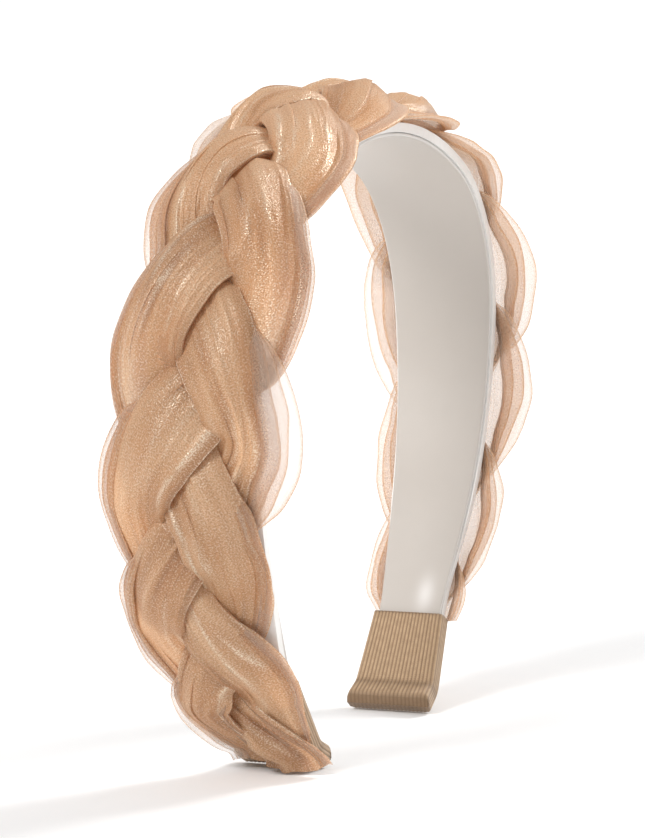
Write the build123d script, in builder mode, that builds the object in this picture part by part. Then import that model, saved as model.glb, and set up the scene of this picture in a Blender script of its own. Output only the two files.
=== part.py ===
from build123d import *

import math
import os

import numpy as np

# Braided headband, standing on its two tips. Millimetres, +Z up, X from ear to ear,
# Y from front (-) to back (+), origin on the floor midway between the tips.
# "Arc" below is a length along the band, from the top of the head down to a tip.

# Half of the band's inner line: tangent arcs from the crown down to one tip.
crown_radius = 99.0
crown_arc = 46.0
shoulder_radius = 38.5
shoulder_arc = 42.0
side_radius = 89.0
side_arc = 47.0
leg_radius = 520.0
leg_arc = 39.5
bend_radius = 4.0
bend_angle = 30.0
end_arc = 4.0

# Thicknesses across the band, from the head outwards.
lining_thickness = 0.9
band_thickness = 2.0
wrap_thickness = 0.8
rib_height = 0.2
clearance = 0.1
foot_flat = 0.5

# Widths from front to back.
crown_width = 26.5
wrap_top_width = 14.8
tip_width = 17.4
lining_margin = 0.3
wrap_arc = 22.0
rib_count = 19
rib_share = 0.55

# How the band widens from the top of the wrap up to the crown.
band_taper = (
    # height share, widening share
    (0.17, 0.30),
    (0.34, 0.53),
    (0.68, 0.83),
    (0.93, 0.95),
)

# The braid. Each lobe is where a strand reaches furthest to one side.
lobe_arc = 14.3
first_lobe_arc = -170.1
strand_reach = 10.0
outer_width = 10.5
middle_width = 8.0
inner_width = 5.6
strand_loft = 3.4
hem_thickness = 1.0
strand_gap = 0.4
left_tip_bare = 7.5
section_step = 4.1
over_puff = 0.25
crossing_overlap = 2.3
lift_reach = 2.0
lift_margin = 3.0
level_blend = 0.5
relax_rounds = 12

# Cross-section of a strand: two gathered folds with a valley between them.
fold_profile = (
    # share of half width, share of loft
    (-1.00, 0.00),
    (-0.70, 0.62),
    (-0.36, 1.00),
    (0.00, 0.80),
    (0.36, 1.00),
    (0.70, 0.62),
    (1.00, 0.00),
)

# How the braid swells, narrows and wanders over the band.
braid_taper = (
    # share of the braid's length, reach, width, loft and shift shares, lag in lobes
    (0.00, 0.56, 0.60, 0.20, -0.30, 0.00),
    (0.04, 0.77, 0.79, 0.50, 0.48, 0.00),
    (0.08, 0.82, 0.84, 0.80, 0.60, 0.00),
    (0.13, 0.85, 0.87, 0.95, 0.70, 0.00),
    (0.16, 0.88, 0.91, 1.00, 0.62, 0.00),
    (0.19, 1.02, 1.04, 1.00, 0.33, 0.00),
    (0.22, 1.11, 1.12, 1.00, 0.10, 0.00),
    (0.28, 1.05, 1.06, 1.00, -0.16, 0.00),
    (0.34, 0.94, 0.96, 1.00, -0.24, 0.00),
    (0.40, 0.95, 0.99, 1.00, -0.16, 0.00),
    (0.46, 0.98, 1.03, 1.00, 0.00, 0.00),
    (0.52, 0.98, 1.02, 1.00, 0.00, 0.05),
    (0.61, 0.89, 0.94, 1.00, -0.05, 0.20),
    (0.68, 0.89, 0.92, 1.00, -0.10, 0.30),
    (0.77, 1.12, 1.12, 1.00, 0.03, 0.30),
    (0.82, 0.97, 0.99, 1.00, -0.10, 0.30),
    (0.88, 0.81, 0.85, 0.90, -0.05, 0.30),
    (0.94, 0.70, 0.74, 0.80, -0.06, 0.25),
    (0.98, 0.60, 0.66, 0.45, 0.00, 0.20),
    (1.00, 0.48, 0.52, 0.20, 0.00, 0.20),
)

strand_names = ("strand_back", "strand_middle", "strand_front")

# The band's line.
stretches = (
    # radius, arc
    (crown_radius, crown_arc),
    (shoulder_radius, shoulder_arc),
    (side_radius, side_arc),
    (leg_radius, leg_arc),
    (bend_radius, bend_radius * math.radians(bend_angle)),
    (math.inf, end_arc),
)
tip_arc = sum(arc for _, arc in stretches)
wrap_top_arc = tip_arc - wrap_arc

# Offsets outwards from the line: lining, band, wrap.
lining_top = lining_thickness
band_bottom = lining_top + clearance
band_top = band_bottom + band_thickness
wrap_inside = -clearance - wrap_thickness
wrap_outside = band_top + clearance + wrap_thickness
rib_outside = wrap_outside + rib_height
wrap_end_arc = clearance + wrap_thickness


def line_points(arc, offset):
    """Points of the band's line, with the crown at z = 0, moved outwards by an offset.

    The sign of the arc says which side: minus for the left, plus for the right.
    """
    arc, offset = np.broadcast_arrays(np.asarray(arc, float), np.asarray(offset, float))
    side = np.where(arc < 0, -1.0, 1.0)
    left = np.abs(arc)
    x, z, heading = np.zeros(arc.shape), np.zeros(arc.shape), np.zeros(arc.shape)
    for number, (radius, length) in enumerate(stretches):
        last = number == len(stretches) - 1
        step = left if last else np.minimum(left, length)
        if math.isinf(radius):
            x, z = x + step * np.cos(heading), z - step * np.sin(heading)
        else:
            turned = heading + step / radius
            x = x + radius * (np.sin(turned) - np.sin(heading))
            z = z + radius * (np.cos(turned) - np.cos(heading))
            heading = turned
        left = left - step
    return side * (x + offset * np.sin(heading)), z + offset * np.cos(heading)


# The lowest corner of the folded ribbon is pressed flat by foot_flat where it stands.
_, lowest = line_points(tip_arc + wrap_end_arc, rib_outside)
crown_z = -foot_flat - float(lowest)

# Longer than the headband reaches from its middle in any direction.
beyond = 2 * crown_z


def side_edge(offset, start_arc, end_extra):
    """Draws one edge of a layer on the right half, from an arc to the tip. Gives its ends."""
    x, z = line_points(start_arc, offset)
    start = end = (float(x), float(z) + crown_z)
    begun, heading = 0.0, 0.0
    for radius, length in stretches:
        skipped = min(max(start_arc - begun, 0.0), length)
        shown = length - skipped
        begun += length
        heading += skipped / radius
        along = (math.cos(heading), -math.sin(heading))
        if math.isinf(radius):
            shown += end_extra
            Line(end, (end[0] + shown * along[0], end[1] + shown * along[1]))
            end = (end[0] + shown * along[0], end[1] + shown * along[1])
        elif shown > 0:
            last = JernArc(end, along, radius + offset, -math.degrees(shown / radius)) @ 1
            end = (last.X, last.Y)
            heading += shown / radius
    return start, end


def side_outline(inside, outside, start_arc, end_extra):
    """Outline, seen from the front, of a layer on the right half of the band."""
    inner_ends = side_edge(inside, start_arc, end_extra)
    outer_ends = side_edge(outside, start_arc, end_extra)
    for inner_end, outer_end in zip(inner_ends, outer_ends):
        Line(inner_end, outer_end)


def half_widths(extra):
    """Half width of the band at heights from the floor to the crown, as points (y, z)."""
    _, wrap_top = line_points(wrap_top_arc, 0.0)
    _, bend = line_points(tip_arc - end_arc, 0.0)
    wrap_top, bend = float(wrap_top) + crown_z, float(bend) + crown_z
    rows = [(tip_width / 2, 0.0), ((wrap_top_width + tip_width) / 4, (bend + wrap_top) / 2)]
    rows.append((wrap_top_width / 2, wrap_top))
    for height, widening in band_taper:
        y = wrap_top_width + (crown_width - wrap_top_width) * widening
        rows.append((y / 2, wrap_top + (crown_z - wrap_top) * height))
    rows.append((crown_width / 2, crown_z + rib_outside))
    return [(y + extra, z) for y, z in rows]


def taper_outline(extra):
    """Outline of the band seen from the side, where it narrows towards the tips."""
    rows = half_widths(extra)
    right = Spline(*rows)
    left = Spline(*[(-y, z) for y, z in rows])
    Line(right @ 0, left @ 0)
    Line(right @ 1, left @ 1)


def layer(inside, outside, start_arc, end_extra, extra_width):
    """One layer of the band's right half, as wide as the band plus an extra on each edge."""
    with BuildPart() as piece:
        with BuildSketch(Plane.XZ):
            with BuildLine():
                side_outline(inside, outside, start_arc, end_extra)
            make_face()
        extrude(amount=beyond, both=True)
        with BuildSketch(Plane.YZ):
            with BuildLine():
                taper_outline(extra_width)
            make_face()
        extrude(amount=beyond, both=True, mode=Mode.INTERSECT)
    return piece.part


with BuildPart() as band:
    add(layer(band_bottom, band_top, 0.0, 0.0, 0.0))
    mirror(about=Plane.YZ)
band.part.label = "band"

with BuildPart() as satin_lining:
    add(layer(0.0, lining_top, 0.0, 0.0, -lining_margin))
    mirror(about=Plane.YZ)
satin_lining.part.label = "satin_lining"


def wrap_shell():
    """The folded ribbon of the right tip: ribs on both faces, hollow round band and lining."""
    cavity = layer(-clearance, band_top + clearance, wrap_top_arc - wrap_thickness, clearance, clearance)
    rib_pitch = (wrap_top_width + 2 * wrap_thickness) / rib_count
    rows = math.ceil((tip_width / 2 + wrap_thickness) / rib_pitch)
    rib_planes = [Plane.XZ.offset(rib_pitch * (i - rib_share / 2)) for i in range(-rows, rows + 1)]
    with BuildPart() as shell:
        with BuildSketch(Plane.XZ):
            with BuildLine():
                side_outline(wrap_inside, wrap_outside, wrap_top_arc, wrap_end_arc)
            make_face()
        extrude(amount=beyond, both=True)
        for inside, outside in ((wrap_inside - rib_height, wrap_inside), (wrap_outside, rib_outside)):
            with BuildSketch(*rib_planes):
                with BuildLine():
                    side_outline(inside, outside, wrap_top_arc, wrap_end_arc)
                make_face()
            extrude(amount=rib_pitch * rib_share)
        with BuildSketch(Plane.YZ):
            with BuildLine():
                taper_outline(clearance + wrap_thickness)
            make_face()
        extrude(amount=beyond, both=True, mode=Mode.INTERSECT)
        add(cavity, mode=Mode.SUBTRACT)
    return shell.part


with BuildPart() as tip_wrap_right:
    add(wrap_shell())
    split(bisect_by=Plane.XY, keep=Keep.TOP)
tip_wrap_right.part.label = "tip_wrap_right"

with BuildPart() as tip_wrap_left:
    add(tip_wrap_right.part.mirror(Plane.YZ))
tip_wrap_left.part.label = "tip_wrap_left"


# The braid is laid out flat first: u along the band from left (-) to right (+), y across it,
# and a height above the band. Each strand is a grid of sections along its path.
braid_start = left_tip_bare - tip_arc
braid_end = wrap_top_arc - strand_gap
straight_end_arc = 12.0
section_count = round((braid_end - braid_start) / section_step) + 1
section_arcs = np.linspace(braid_start, braid_end, section_count)
across = np.array([share for share, _ in fold_profile])
lofts = np.array([loft for _, loft in fold_profile])


def braid_shares(u):
    """Reach, width, loft and shift shares along the braid, and the lag of its lobes."""
    place = (u - braid_start) / (braid_end - braid_start)
    rows = np.array(braid_taper)
    return [np.interp(place, rows[:, 0], rows[:, column]) for column in range(1, 6)]


def strand_path(number, u):
    """Centre line of one strand, its two half widths, its level (+ over, - under) and loft."""
    reach, width, loft, shift, lag = braid_shares(u)
    turn = ((u - first_lobe_arc) / lobe_arc - lag - number) / 3
    swing = np.pi * (turn + number)
    to_back = np.cos(swing)
    level = np.sin(2 * swing)
    edge = to_back ** 2
    far = (middle_width + (outer_width - middle_width) * edge) * width
    near = (middle_width + (inner_width - middle_width) * edge) * width
    y = strand_reach * (reach * to_back + shift)
    from_ends = np.minimum(u - braid_start, braid_end - u) / straight_end_arc
    slope = np.gradient(y, u) * np.clip(from_ends, 0.0, 1.0)
    return {
        "u": u,
        "y": y,
        "normal_u": -slope / np.hypot(1.0, slope),
        "normal_y": 1.0 / np.hypot(1.0, slope),
        "back": np.where(to_back > 0, far, near),
        "front": np.where(to_back > 0, near, far),
        "level": level,
        "thick": hem_thickness + (strand_loft * loft * (1.0 + over_puff * level))[:, None] * lofts,
    }


def gathered_in(strand, others):
    """Half widths drawn in where two strands change places side by side, so that both fit."""
    back, front = strand["back"].copy(), strand["front"].copy()
    for other in others:
        du = other["u"] - strand["u"][:, None]
        dy = other["y"] - strand["y"][:, None]
        nearest = np.hypot(du, dy).argmin(1)
        rows = np.arange(len(nearest))
        du, dy = du[rows, nearest], dy[rows, nearest]
        level_step = np.abs(strand["level"] - other["level"][nearest])
        room = np.hypot(du, dy) / 2 - strand_gap + crossing_overlap * level_step
        behind = du * strand["normal_u"] + dy * strand["normal_y"] > 0
        back = np.where(behind, np.minimum(back, room), back)
        front = np.where(behind, front, np.minimum(front, room))
    return back, front


def strand_grid(strand, others):
    """Adds to a strand where each point of its sections lies in the flat layout."""
    strand["back"], strand["front"] = gathered_in(strand, others)
    half = np.where(across[None] > 0, strand["back"][:, None], strand["front"][:, None]) * across
    strand["grid_u"] = strand["u"][:, None] + half * strand["normal_u"][:, None]
    strand["grid_y"] = strand["y"][:, None] + half * strand["normal_y"][:, None]


def share_on(other, u, y):
    """For points of the layout: place along another strand, share across it, distance past it."""
    away = np.hypot(u[..., None] - other["u"], y[..., None] - other["y"])
    nearest = away.argmin(-1)
    du, dy = u - other["u"][nearest], y - other["y"][nearest]
    normal_u, normal_y = other["normal_u"][nearest], other["normal_y"][nearest]
    side = du * normal_u + dy * normal_y
    along = du * normal_y - dy * normal_u
    half = np.where(side > 0, other["back"][nearest], other["front"][nearest])
    spacing = (other["u"][1] - other["u"][0]) / normal_y
    return nearest + along / spacing, side / half, np.abs(side) - half


def sampled(values, section, share):
    """A grid's values between its points."""
    row = np.clip(section, 0, values.shape[0] - 1.001)
    column = np.interp(share, across, np.arange(len(across)))
    column = np.clip(column, 0, len(across) - 1.001)
    r, c = row.astype(int), column.astype(int)
    fr, fc = row - r, column - c
    low = values[r, c] * (1 - fc) + values[r, c + 1] * fc
    high = values[r + 1, c] * (1 - fc) + values[r + 1, c + 1] * fc
    return low * (1 - fr) + high * fr


def lifted_by(strand, other):
    """How far another strand lifts this one, and where the two lie close enough to press."""
    lift = np.zeros(strand["grid_u"].shape)
    for angle in np.append(np.nan, np.arange(8) * math.pi / 4):
        centre = np.isnan(angle)
        du = 0.0 if centre else lift_reach * math.cos(angle)
        dy = 0.0 if centre else lift_reach * math.sin(angle)
        section, share, outside = share_on(other, strand["grid_u"] + du, strand["grid_y"] + dy)
        near = np.clip(2.0 - outside / lift_margin, 0.0, 1.0)
        lift = np.maximum(lift, near * (sampled(other["thick"], section, share) + strand_gap))
        if centre:
            level = np.interp(section, np.arange(len(other["u"])), other["level"])
            over = np.clip(0.5 + (strand["level"][:, None] - level) / level_blend, 0.0, 1.0)
            pressed = (over < 1.0) & (near > 0.0)
    return lift * over, pressed


def layered_strands(u):
    """The three strands with the height of each: on the band, or on the strands it crosses.

    The height under a strand is the sum of the strands below it there. Each strand lifts the
    ones above it a little way past its own edge, and where nothing presses a strand down it
    spans straight from one crossing to the next.
    """
    strands = [strand_path(number, u) for number in range(3)]
    paths = [dict(strand) for strand in strands]
    for number, strand in enumerate(strands):
        strand_grid(strand, paths[:number] + paths[number + 1:])
    for strand in strands:
        on_wrap = np.clip(1.0 - (strand["grid_u"] + wrap_top_arc) / lift_margin, 0.0, 1.0)
        floor = strand_gap + (rib_outside - band_top) * on_wrap
        pressed = np.zeros(floor.shape, bool)
        for other in strands:
            if other is not strand:
                lift, near = lifted_by(strand, other)
                floor = floor + lift
                pressed |= near
        height = floor.copy()
        for _ in range(relax_rounds):
            relaxed = height.copy()
            relaxed[1:-1] = (height[:-2] + height[2:]) / 2
            height = np.where(pressed, floor, np.maximum(floor, relaxed))
        strand["height"] = height
    return strands


def placed(u, y, height):
    """Points of the layout on the standing band."""
    x, z = line_points(u, band_top + height)
    return np.stack([x, y, z + crown_z], axis=-1)


def faceted(rings):
    """Closed solid through rings of points, capped at both ends, all in flat triangles."""
    sections, count = rings.shape[:2]
    corners = [Vector(*point) for point in rings.reshape(-1, 3)]
    triangles = []
    for j in range(sections - 1):
        for q in range(count):
            a, b = j * count + q, j * count + (q + 1) % count
            triangles += [(a, b, b + count), (a, b + count, a + count)]
    for start, turned in ((0, True), ((sections - 1) * count, False)):
        for q in range(count // 2 - 1):
            a, b, c, d = start + q, start + q + 1, start + count - 2 - q, start + count - 1 - q
            for triangle in ((a, b, c), (a, c, d)):
                triangles.append(triangle[::-1] if turned else triangle)
    faces = [Face(Wire.make_polygon([corners[i] for i in triangle])) for triangle in triangles]
    return Solid(Shell(faces))


strands = []
for name, layout in zip(strand_names, layered_strands(section_arcs)):
    u, y, height = layout["grid_u"], layout["grid_y"], layout["height"]
    under_side = placed(u, y, height)
    top_side = placed(u, y, height + layout["thick"])
    with BuildPart() as strand:
        add(faceted(np.concatenate([under_side, top_side[:, ::-1]], axis=1)), clean=False)
    strand.part.label = name
    strands.append(strand)

os.makedirs("parts", exist_ok=True)
for piece in (band, satin_lining, tip_wrap_left, tip_wrap_right, *strands):
    export_step(piece.part, f"parts/{piece.part.label}.step")
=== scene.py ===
# %% [markdown]
# # A braided organza headband
#
# A stiff band, lined with satin, carries a braid of three strands of sheer organza. A folded
# ribbon closes each tip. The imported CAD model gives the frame: where the band runs and how
# much room each piece has. This file gives the pieces their real surfaces and finishes.

# %% Tools and the frame
import math

import bpy
import numpy as np
from mathutils import Matrix, Vector


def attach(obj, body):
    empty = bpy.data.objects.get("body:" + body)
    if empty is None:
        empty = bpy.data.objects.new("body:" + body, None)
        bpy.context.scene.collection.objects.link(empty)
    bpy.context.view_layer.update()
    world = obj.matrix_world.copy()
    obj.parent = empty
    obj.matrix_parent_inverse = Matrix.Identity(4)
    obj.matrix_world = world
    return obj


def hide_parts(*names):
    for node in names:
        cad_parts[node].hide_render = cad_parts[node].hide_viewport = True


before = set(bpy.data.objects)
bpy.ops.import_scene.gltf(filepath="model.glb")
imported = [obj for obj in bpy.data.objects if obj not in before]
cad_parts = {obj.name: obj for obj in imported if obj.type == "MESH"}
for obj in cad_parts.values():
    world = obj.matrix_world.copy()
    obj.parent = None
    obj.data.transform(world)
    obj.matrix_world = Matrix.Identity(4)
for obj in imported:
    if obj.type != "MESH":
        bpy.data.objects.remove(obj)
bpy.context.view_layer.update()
print("frame:", sorted(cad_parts))

# %% [markdown]
# ## The line that everything follows
#
# The inner face of the band is a chain of arcs: flat over the head, tight at the shoulders,
# nearly straight down to the tips, with a small bend inwards at the end. Every piece is laid
# out flat first, as u along the band, y across it and a height above it, and then stood up
# on this line. Working flat keeps cloth its true size. All lengths are
# millimetres until they stand.

# %% The band's line
MM = 0.001
STRETCHES = (
    # radius, arc
    (99.0, 46.0),
    (38.5, 42.0),
    (89.0, 47.0),
    (520.0, 39.5),
    (4.0, 4.0 * math.radians(30.0)),
    (math.inf, 4.0),
)
TIP_ARC = sum(arc for _, arc in STRETCHES)
WRAP_ARC = 22.0
WRAP_TOP_ARC = TIP_ARC - WRAP_ARC
BAND_TOP = 3.0
RIB_OUTSIDE = 4.1
FOOT_FLAT = 0.5


def line_points(arc, offset):
    """x, z and heading of points moved outwards from the band's line by an offset.

    Along an arc of radius r a step s turns the heading by s / r, and the point moves by
    r times the change in the heading's sine and cosine.
    """
    arc, offset = np.broadcast_arrays(np.asarray(arc, float), np.asarray(offset, float))
    side = np.where(arc < 0, -1.0, 1.0)
    left = np.abs(arc)
    x, z, heading = np.zeros(arc.shape), np.zeros(arc.shape), np.zeros(arc.shape)
    for number, (radius, length) in enumerate(STRETCHES):
        last = number == len(STRETCHES) - 1
        step = left if last else np.minimum(left, length)
        if math.isinf(radius):
            x, z = x + step * np.cos(heading), z - step * np.sin(heading)
        else:
            turned = heading + step / radius
            x = x + radius * (np.sin(turned) - np.sin(heading))
            z = z + radius * (np.cos(turned) - np.cos(heading))
            heading = turned
        left = left - step
    return side * (x + offset * np.sin(heading)), z + offset * np.cos(heading), side * heading


_, lowest, _ = line_points(TIP_ARC + 0.9, RIB_OUTSIDE)
CROWN_Z = -FOOT_FLAT - float(lowest)


def stand(u, y, offset):
    """Layout points on the standing headband, in metres."""
    x, z, _ = line_points(u, offset)
    return np.stack(np.broadcast_arrays(x, y, z + CROWN_Z), axis=-1) * MM


print(f"line: {2 * TIP_ARC:.1f} mm from tip to tip, crown at {CROWN_Z:.1f} mm")

# %% [markdown]
# ## Helpers for surfaces on a grid
#
# A surface is an array of points, rows by columns. Neighbours make the faces. One helper
# turns any such array into a mesh, with a map of real lengths for weaves and any values
# that a material needs at each point.


# %% Grid to mesh
def grid_faces(rows, columns, closed=False):
    """Four-cornered faces between a grid's neighbours; closed joins its last column to its first."""
    index = np.arange(rows * columns).reshape(rows, columns)
    if closed:
        index = np.hstack([index, index[:, :1]])
    corners = [index[:-1, :-1], index[1:, :-1], index[1:, 1:], index[:-1, 1:]]
    return np.stack(corners, axis=-1).reshape(-1, 4)


def surface(name, points, uv, values, closed=False, turned=False):
    """A smooth mesh object from a grid of points in metres, with a map and named values."""
    rows, columns = points.shape[:2]
    faces = grid_faces(rows, columns, closed)
    if turned:
        faces = faces[:, ::-1]
    mesh = bpy.data.meshes.new(name)
    mesh.vertices.add(rows * columns)
    mesh.vertices.foreach_set("co", points.reshape(-1).astype(np.float32))
    mesh.loops.add(faces.size)
    mesh.loops.foreach_set("vertex_index", faces.reshape(-1).astype(np.int32))
    mesh.polygons.add(len(faces))
    mesh.polygons.foreach_set("loop_start", np.arange(0, faces.size, 4, dtype=np.int32))
    mesh.polygons.foreach_set("use_smooth", np.ones(len(faces), bool))
    mesh.update(calc_edges=True)
    mesh.validate()
    layer = mesh.uv_layers.new(name="cloth")
    flat = uv.reshape(-1, 2)[faces.reshape(-1)]
    layer.data.foreach_set("uv", flat.reshape(-1).astype(np.float32))
    for key, value in values.items():
        attribute = mesh.attributes.new(key, "FLOAT", "POINT")
        attribute.data.foreach_set("value", value.reshape(-1).astype(np.float32))
    piece = bpy.data.objects.new(name, mesh)
    bpy.context.scene.collection.objects.link(piece)
    return piece


def run_lengths(points, axis):
    """Distance travelled along one axis of a grid of points, in metres."""
    steps = np.linalg.norm(np.diff(points, axis=axis), axis=-1)
    start = np.zeros_like(np.take(steps, [0], axis=axis))
    return np.concatenate([start, np.cumsum(steps, axis=axis)], axis=axis)


def wander(x, period, seed):
    """A smooth curve between about -1 and 1: three sines with periods of 1, 0.57 and 0.31."""
    draw = np.random.default_rng(seed)
    phases = draw.uniform(0, 2 * np.pi, 3)
    shares = ((1.0, 0.6), (0.57, 0.3), (0.31, 0.2))
    return sum(s * np.sin(2 * np.pi * x / (period * p) + a) for (p, s), a in zip(shares, phases))


# %% [markdown]
# ## The braid, laid out flat
#
# Three strands swing from side to side, a third of a swing apart. Where a strand reaches
# furthest out it makes a lobe, and the lobes come every 14.3 mm on alternating sides. Half
# way between two lobes a strand passes over one neighbour, and then under the other. Its
# level, the sine of twice its swing, says which. The CAD solids follow the same rule, so
# the cloth here lies close to them.

# %% Sizes of the braid
LOBE_ARC = 14.3
FIRST_LOBE_ARC = -170.1
REACH = 10.0
OUTER_WIDTH = 10.5
MIDDLE_WIDTH = 8.0
INNER_WIDTH = 6.9
SHOULDER_WIDTH = 0.7
LOFT = 3.3
OVER_PUFF = 0.25
HEM = 0.8
GAP = 0.35
FLOOR_GAP = 0.2
SIDE_OVERLAP = 0.5
CROSSING_OVERLAP = 4.5
BRAID_START = 7.5 - TIP_ARC
BRAID_END = WRAP_TOP_ARC - 0.4
FLAP_END = 5.4 - TIP_ARC
STRAIGHT_END = 12.0
SCALLOP = 0.5
print(f"braid: {BRAID_END - BRAID_START:.0f} mm long, a lobe every {LOBE_ARC} mm")

# %% [markdown]
# A real braid is pulled tight in one place and loose in another. The first table holds how it
# swells, narrows and wanders, as seen in the photograph. The others have a value for each
# lobe: how much of it is gathered dense cloth, and how its sheer edge stands.

# %% How the braid changes along the band
BRAID_TAPER = np.array((
    # share of the braid's length, reach, width, loft, shift, lag in lobes
    (0.00, 0.56, 0.60, 0.20, -0.30, 0.00),
    (0.04, 0.77, 0.79, 0.50, 0.48, 0.00),
    (0.08, 0.82, 0.84, 0.80, 0.60, 0.00),
    (0.13, 0.85, 0.87, 0.95, 0.70, 0.00),
    (0.16, 0.88, 0.91, 1.00, 0.62, 0.00),
    (0.19, 1.02, 1.04, 1.00, 0.33, 0.00),
    (0.22, 1.11, 1.12, 1.00, 0.10, 0.00),
    (0.28, 1.05, 1.06, 1.00, -0.16, 0.00),
    (0.34, 0.94, 0.96, 1.00, -0.24, 0.00),
    (0.40, 0.95, 0.99, 1.00, -0.16, 0.00),
    (0.46, 0.98, 1.03, 1.00, 0.00, 0.00),
    (0.52, 0.98, 1.02, 1.00, 0.00, 0.05),
    (0.61, 0.89, 0.94, 1.00, -0.05, 0.20),
    (0.68, 0.89, 0.92, 1.00, -0.10, 0.30),
    (0.77, 1.12, 1.12, 1.00, 0.03, 0.30),
    (0.82, 0.97, 0.99, 1.00, -0.10, 0.30),
    (0.88, 0.81, 0.85, 0.90, -0.05, 0.30),
    (0.94, 0.70, 0.74, 0.80, -0.06, 0.25),
    (0.98, 0.60, 0.66, 0.45, 0.00, 0.20),
    (1.00, 0.48, 0.52, 0.20, 0.00, 0.20),
))
# Share of each lobe's outer half that is dense cloth, from the left tip to the right one.
DENSE = np.array((
    0.50, 0.88, 0.80, 0.92, 0.68, 0.34, 0.86, 0.84, 0.66, 0.88, 0.36, 0.86,
    0.34, 0.60, 0.32, 0.46, 0.30, 0.34, 0.30, 0.36, 0.40, 0.46, 0.52, 0.66,
))
DENSE_INSIDE = 1.0
# How far the sheer edge of each lobe stands up, in millimetres.
RAISED = np.array((
    1.5, 0.0, 1.0, 0.0, 0.5, 0.5, 0.3, 0.0, 1.0, 0.0, 1.2, 0.5,
    4.5, 1.0, 0.5, 1.0, 0.3, 0.5, 0.5, 0.5, 0.3, 0.5, 0.0, 0.0,
))
# How much further out the sheer edge of each lobe stands, in millimetres.
LOOSE = np.array((
    0.0, 0.0, 0.0, 0.0, -0.8, 0.0, -1.6, 0.0, -0.8, 0.0, -2.0, 0.0,
    0.0, 0.0, 1.5, -0.8, 2.5, -1.0, 0.0, 0.0, 0.0, 0.0, 0.0, 0.0,
))
# Along the band, how much light comes through the cloth: little on the left arm. It thins the cloth and is
# also painted in, as lighter colour and less painted shade.
GLOW = np.array(((-150.0, 0.05), (-70.0, 0.2), (-25.0, 0.7), (15.0, 0.9), (45.0, 1.0)))
print(f"tables: {len(BRAID_TAPER)} places along the braid, {len(DENSE)} lobes")

# %% Path of a strand
SECTIONS = 167
SHARES = np.linspace(-1.0, 1.0, 33)


def strand_path(number, u):
    """Centre line, half widths, level and loft of one strand along the band.

    y is the reach times the cosine of the swing. The half width on the side of the lobe
    grows with the cosine squared and the other shrinks with it. Between two lobes of a
    strand, the values of single lobes change along a straight line.
    """
    place = (u - BRAID_START) / (BRAID_END - BRAID_START)
    reach, width, loft, shift, lag = (
        np.interp(place, BRAID_TAPER[:, 0], BRAID_TAPER[:, column]) for column in range(1, 6)
    )
    swing = np.pi * (((u - FIRST_LOBE_ARC) / LOBE_ARC - lag - number) / 3 + number)
    to_back, level = np.cos(swing), np.sin(2 * swing)
    edge = to_back ** 2
    far = (MIDDLE_WIDTH + (OUTER_WIDTH - MIDDLE_WIDTH) * edge) * width
    near = (MIDDLE_WIDTH + (INNER_WIDTH - MIDDLE_WIDTH) * edge) * width
    y = REACH * (reach * to_back + shift)
    from_ends = np.minimum(u - FLAP_END, BRAID_END - u) / STRAIGHT_END
    slope = np.gradient(y, u) * np.clip(from_ends, 0.0, 1.0)
    lobes = np.arange(number, len(DENSE), 3)
    lobe_arcs = FIRST_LOBE_ARC + LOBE_ARC * (lobes + lag.mean())
    outer, raised, loose = (np.interp(u, lobe_arcs, table[lobes]) for table in (DENSE, RAISED, LOOSE))
    dense = DENSE_INSIDE + (outer - DENSE_INSIDE) * np.clip(1.4 * edge - 0.1, 0.0, 1.0)
    shoulder = SHOULDER_WIDTH * 4 * edge * (1 - edge) * width + loose * edge
    strand = {
        "number": number, "u": u, "y": y,
        "normal_u": -slope / np.hypot(1.0, slope), "normal_y": 1.0 / np.hypot(1.0, slope),
        "sheer": np.clip(0.9 - 1.5 * outer, 0.0, 0.35), "glow": np.interp(u, GLOW[:, 0], GLOW[:, 1]),
        "level": level, "edge": edge, "loft": LOFT * loft * (1 + OVER_PUFF * level),
    }
    by_side = {
        # name, value on the side of the lobe, value on the other side
        "": (far, near), "shoulder_": (shoulder, 0.0), "dense_": (dense, DENSE_INSIDE),
        "lobe_": (edge, 0.0), "raised_": (raised * edge, 0.0),
    }
    for key, (lobe, other) in by_side.items():
        strand[key + "back"] = np.where(to_back > 0, lobe, other)
        strand[key + "front"] = np.where(to_back > 0, other, lobe)
    return strand


def gathered_in(strand, others):
    """Half widths drawn in where two strands change places side by side, so that both fit.

    Each gets half the distance between the two centre lines, a small overlap, and more
    overlap the further apart their levels are.
    """
    back, front = strand["back"].copy(), strand["front"].copy()
    for other in others:
        du, dy = other["u"] - strand["u"][:, None], other["y"] - strand["y"][:, None]
        nearest = np.hypot(du, dy).argmin(1)
        rows = np.arange(len(nearest))
        du, dy = du[rows, nearest], dy[rows, nearest]
        step = np.abs(strand["level"] - other["level"][nearest])
        room = np.hypot(du, dy) / 2 + SIDE_OVERLAP + CROSSING_OVERLAP * step
        behind = du * strand["normal_u"] + dy * strand["normal_y"] > 0
        back = np.where(behind, np.minimum(back, room), back)
        front = np.where(behind, front, np.minimum(front, room))
    return back, front


def dome(share):
    """Height of a gathered strand across its width, 0 at the edges and 1 on top."""
    return np.clip(1.0 - np.abs(share) ** 2.4, 0.0, 1.0) ** 1.05


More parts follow.
